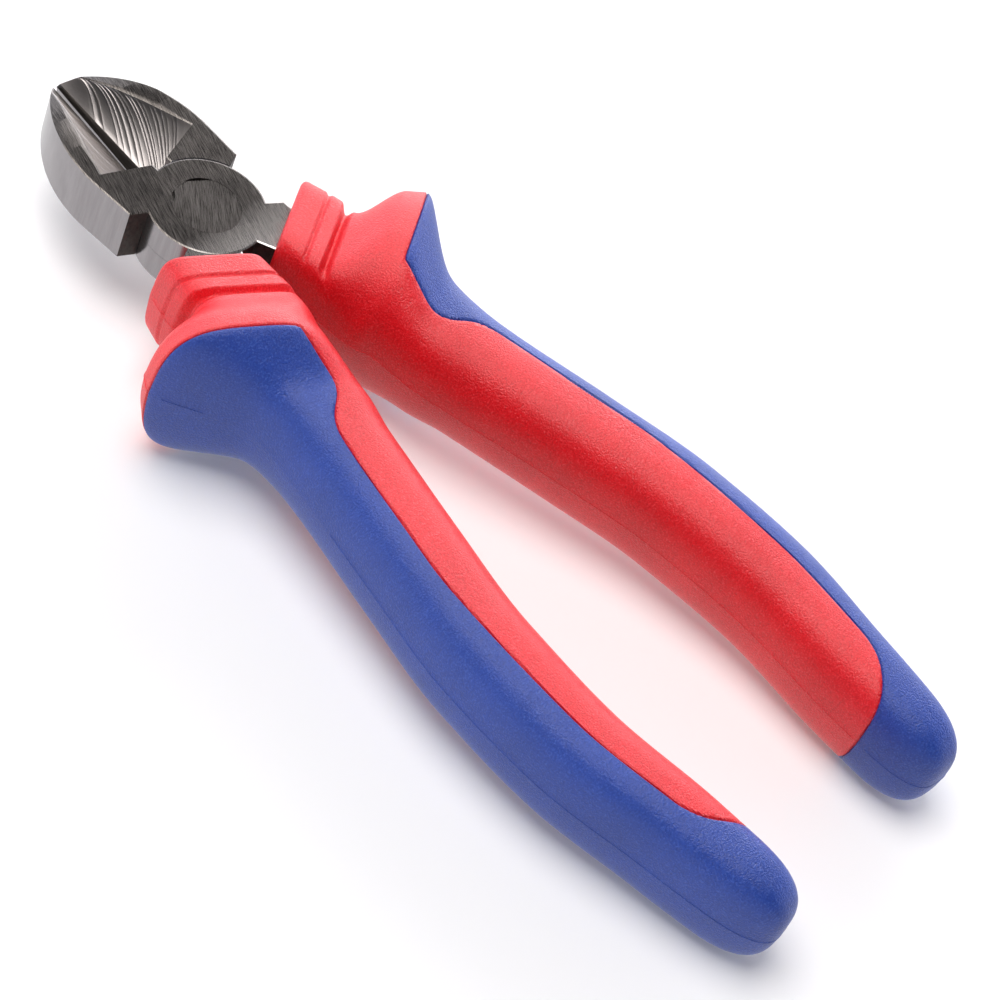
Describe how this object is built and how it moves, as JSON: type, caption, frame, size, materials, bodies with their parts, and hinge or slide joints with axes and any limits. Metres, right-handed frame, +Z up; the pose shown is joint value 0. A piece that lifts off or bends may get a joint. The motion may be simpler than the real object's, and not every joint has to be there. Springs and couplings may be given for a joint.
{
  "type": "diagonal cutter",
  "caption": "Diagonal cutter with bevelled steel jaws on a flush rivet and red and blue moulded grips with finger guards, jaws just open, +Y towards the tips",
  "frame": {"origin": "bottom centre of the tool lying flat: middle of its width and length, on the level of the lowest guard edge", "axes": "+Y towards the jaw tips along the tool, +X to the right seen from above, +Z up along the rivet"},
  "size_m": [0.058, 0.1608, 0.027],
  "materials": {
    "ground_steel": "ground",
    "rivet_steel": "ground flush",
    "red_moulding": "fine grain",
    "blue_soft_moulding": "fine grain"
  },
  "bodies": {
    "lower_side": {"lever_lower": "ground_steel", "pivot_rivet": "rivet_steel", "grip_body_left": "red_moulding", "grip_cover_left": "blue_soft_moulding"},
    "upper_side": {"lever_upper": "ground_steel", "grip_body_right": "red_moulding", "grip_cover_right": "blue_soft_moulding"}
  },
  "joints": [
    {"name": "pivot", "type": "hinge", "parent": "lower_side", "child": "upper_side", "pos_m": [0, 0.0491, 0.0136], "axis": [0, 0, 1], "range_deg": [-0.9, 40]}
  ]
}
